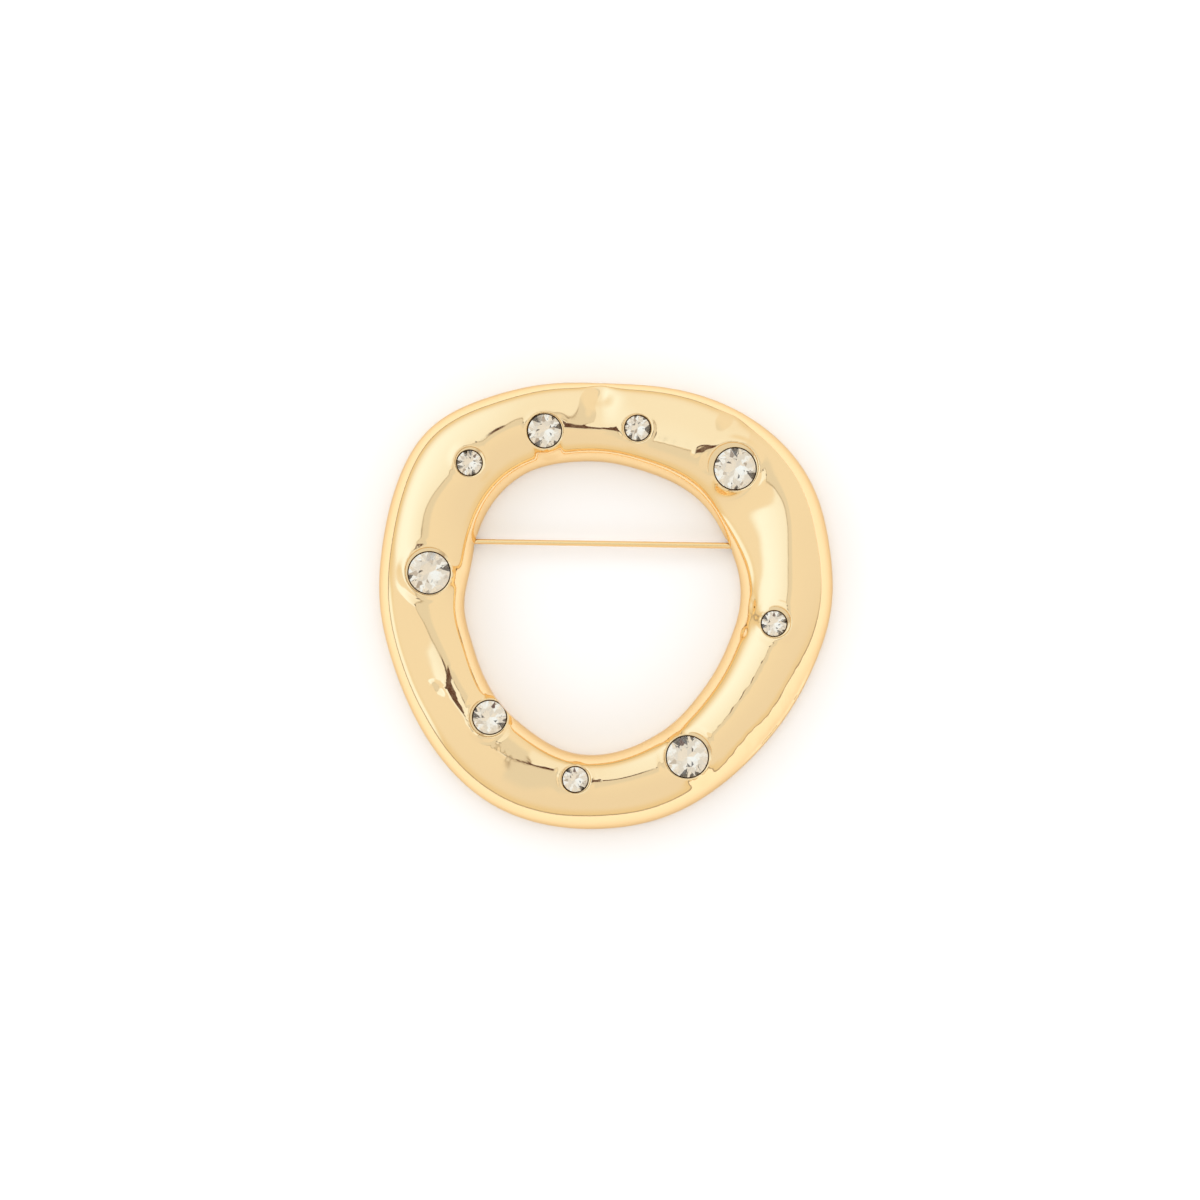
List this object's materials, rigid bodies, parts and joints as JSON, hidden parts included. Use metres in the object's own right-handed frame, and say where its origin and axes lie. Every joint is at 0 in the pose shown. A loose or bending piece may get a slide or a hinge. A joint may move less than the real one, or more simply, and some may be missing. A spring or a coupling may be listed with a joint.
{
  "type": "circle pin brooch",
  "caption": "Open, softly irregular cast ring brooch, domed in front, with round crystals set along its crest and a hinged pin stem across its hole behind.",
  "frame": {"origin": "middle of the ring's outline, on the plane of its flat back", "axes": "+Z out of the domed front, +Y towards the edge nearer the pin, +X towards the pin's hinge"},
  "size_m": [0.0498, 0.049, 0.0056],
  "materials": {
    "gold_plate": "mirror-polished pale gold plating on cast zinc alloy",
    "crystal": "clear faceted crystal glass with a silver foil back",
    "plated_wire": "polished gold-plated steel wire",
    "plated_findings": "gold-plated steel, softly polished"
  },
  "bodies": {
    "brooch": {"ring_frame": "gold_plate", "crystal_01": "crystal", "crystal_02": "crystal", "crystal_03": "crystal", "crystal_04": "crystal", "crystal_05": "crystal", "crystal_06": "crystal", "crystal_07": "crystal", "crystal_08": "crystal", "crystal_09": "crystal", "pin_joint": "plated_findings", "joint_rivet": "plated_findings", "pin_catch": "plated_findings"},
    "pin": {"pin_stem": "plated_wire"}
  },
  "joints": [
    {"name": "pin_hinge", "type": "hinge", "parent": "brooch", "child": "pin", "pos_m": [0.01865, 0.00654, 0.00101], "axis": [-0.0167, -0.9999, 0], "range_deg": [0, 100]}
  ]
}
